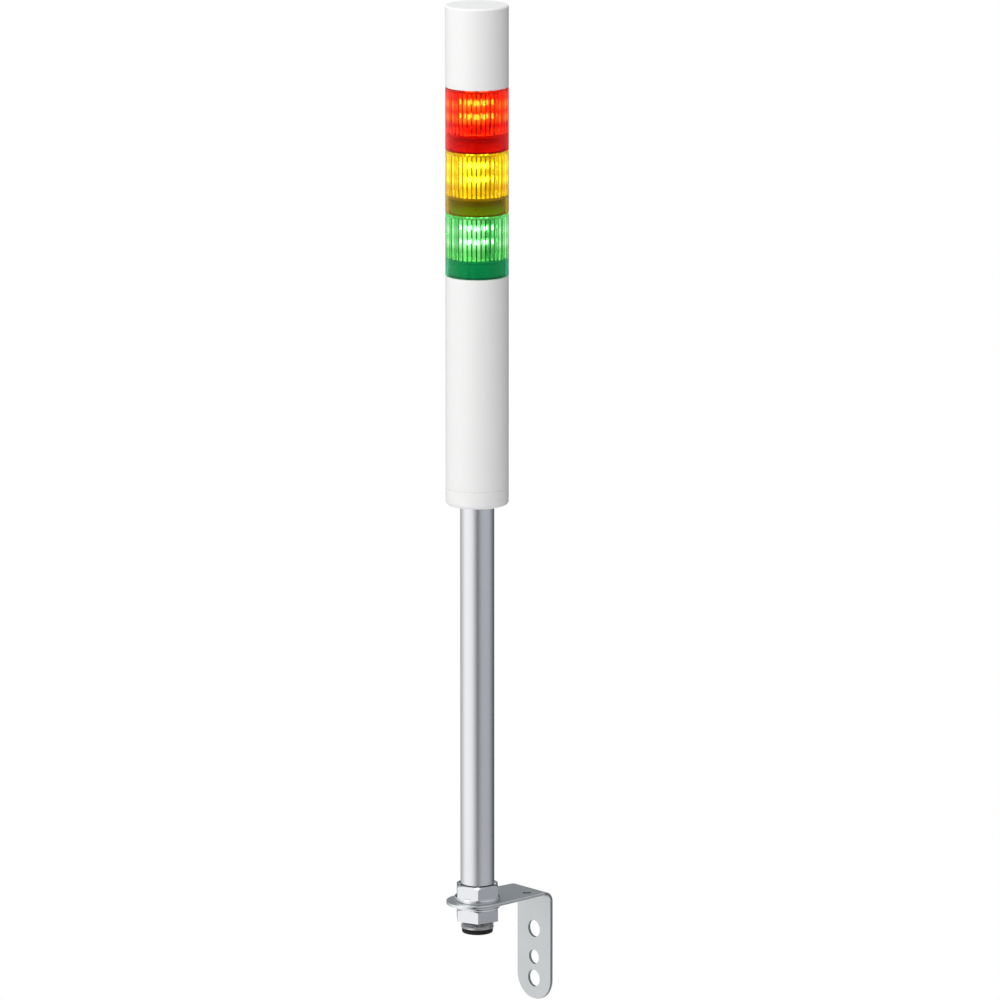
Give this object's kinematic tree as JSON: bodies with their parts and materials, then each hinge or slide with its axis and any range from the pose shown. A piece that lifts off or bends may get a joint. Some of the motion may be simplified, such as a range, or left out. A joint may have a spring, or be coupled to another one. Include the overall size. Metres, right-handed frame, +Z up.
{
  "type": "stack light",
  "caption": "Slim signal tower with stacked red, yellow and green LED lights and a white sounder, on a pole held by nuts in a folded wall bracket.",
  "frame": {"origin": "centre of the cable outlet, on the lower face of the bush at the foot of the pole, on the pole axis", "axes": "+Z up the pole, +Y towards the wall that the bracket's plate lies on, +X completes a right-handed frame"},
  "size_m": [0.04, 0.0714, 0.6525],
  "materials": {
    "plated_sheet": "satin zinc plating",
    "satin_tube": "satin drawn tube",
    "bright_plating": "bright nickel plating",
    "black_rubber": "matt",
    "white_housing": "fine matt moulding",
    "cast_metal": "as cast",
    "steel_screws": "plated",
    "circuit_board": "white solder mask",
    "dark_components": "moulded",
    "brass_contacts": "bright",
    "inner_white": "smooth moulding",
    "green_lens": "clear coloured",
    "yellow_lens": "clear coloured",
    "red_lens": "clear coloured",
    "green_led": "lit",
    "yellow_led": "lit",
    "red_led": "lit"
  },
  "bodies": {
    "mast": {"wall_bracket": "plated_sheet", "pole": "satin_tube", "end_bush": "black_rubber", "lower_nut": "bright_plating", "upper_nut": "bright_plating", "lower_washer": "bright_plating", "upper_washer": "bright_plating", "body_bottom_ring": "white_housing", "body_housing": "white_housing", "body_seal": "black_rubber", "pole_holder": "cast_metal", "pole_clamp_screws": "steel_screws", "holder_screws": "steel_screws", "power_board": "circuit_board", "power_board_parts": "dark_components", "terminal_block": "dark_components", "body_contact_plate": "circuit_board", "body_contact_tracks": "brass_contacts", "body_collar_seal": "black_rubber"},
    "green_unit": {"green_lens": "green_lens", "green_chassis": "inner_white", "green_led_boards": "circuit_board", "green_leds": "green_led", "green_contact_plate": "circuit_board", "green_contact_tracks": "brass_contacts", "green_contact_pins": "brass_contacts", "green_seal": "black_rubber"},
    "yellow_unit": {"yellow_lens": "yellow_lens", "yellow_chassis": "inner_white", "yellow_led_boards": "circuit_board", "yellow_leds": "yellow_led", "yellow_contact_plate": "circuit_board", "yellow_contact_tracks": "brass_contacts", "yellow_contact_pins": "brass_contacts", "yellow_seal": "black_rubber"},
    "red_unit": {"red_lens": "red_lens", "red_chassis": "inner_white", "red_led_boards": "circuit_board", "red_leds": "red_led", "red_contact_plate": "circuit_board", "red_contact_tracks": "brass_contacts", "red_contact_pins": "brass_contacts", "red_seal": "black_rubber"},
    "sounder_unit": {"sounder_cover": "white_housing", "sounder_chassis": "inner_white", "sounder_board": "circuit_board", "sounder_capsule": "dark_components", "sounder_contact_pins": "brass_contacts"}
  },
  "joints": [
    {"name": "green_twist", "type": "hinge", "parent": "mast", "child": "green_unit", "pos_m": [0, 0, 0.4276], "axis": [0, 0, 1], "range_deg": [0, 46]},
    {"name": "yellow_twist", "type": "hinge", "parent": "green_unit", "child": "yellow_unit", "pos_m": [0, 0, 0.4676], "axis": [0, 0, 1], "range_deg": [0, 46]},
    {"name": "red_twist", "type": "hinge", "parent": "yellow_unit", "child": "red_unit", "pos_m": [0, 0, 0.5076], "axis": [0, 0, 1], "range_deg": [0, 46]},
    {"name": "sounder_twist", "type": "hinge", "parent": "red_unit", "child": "sounder_unit", "pos_m": [0, 0, 0.5476], "axis": [0, 0, 1], "range_deg": [0, 46]}
  ]
}
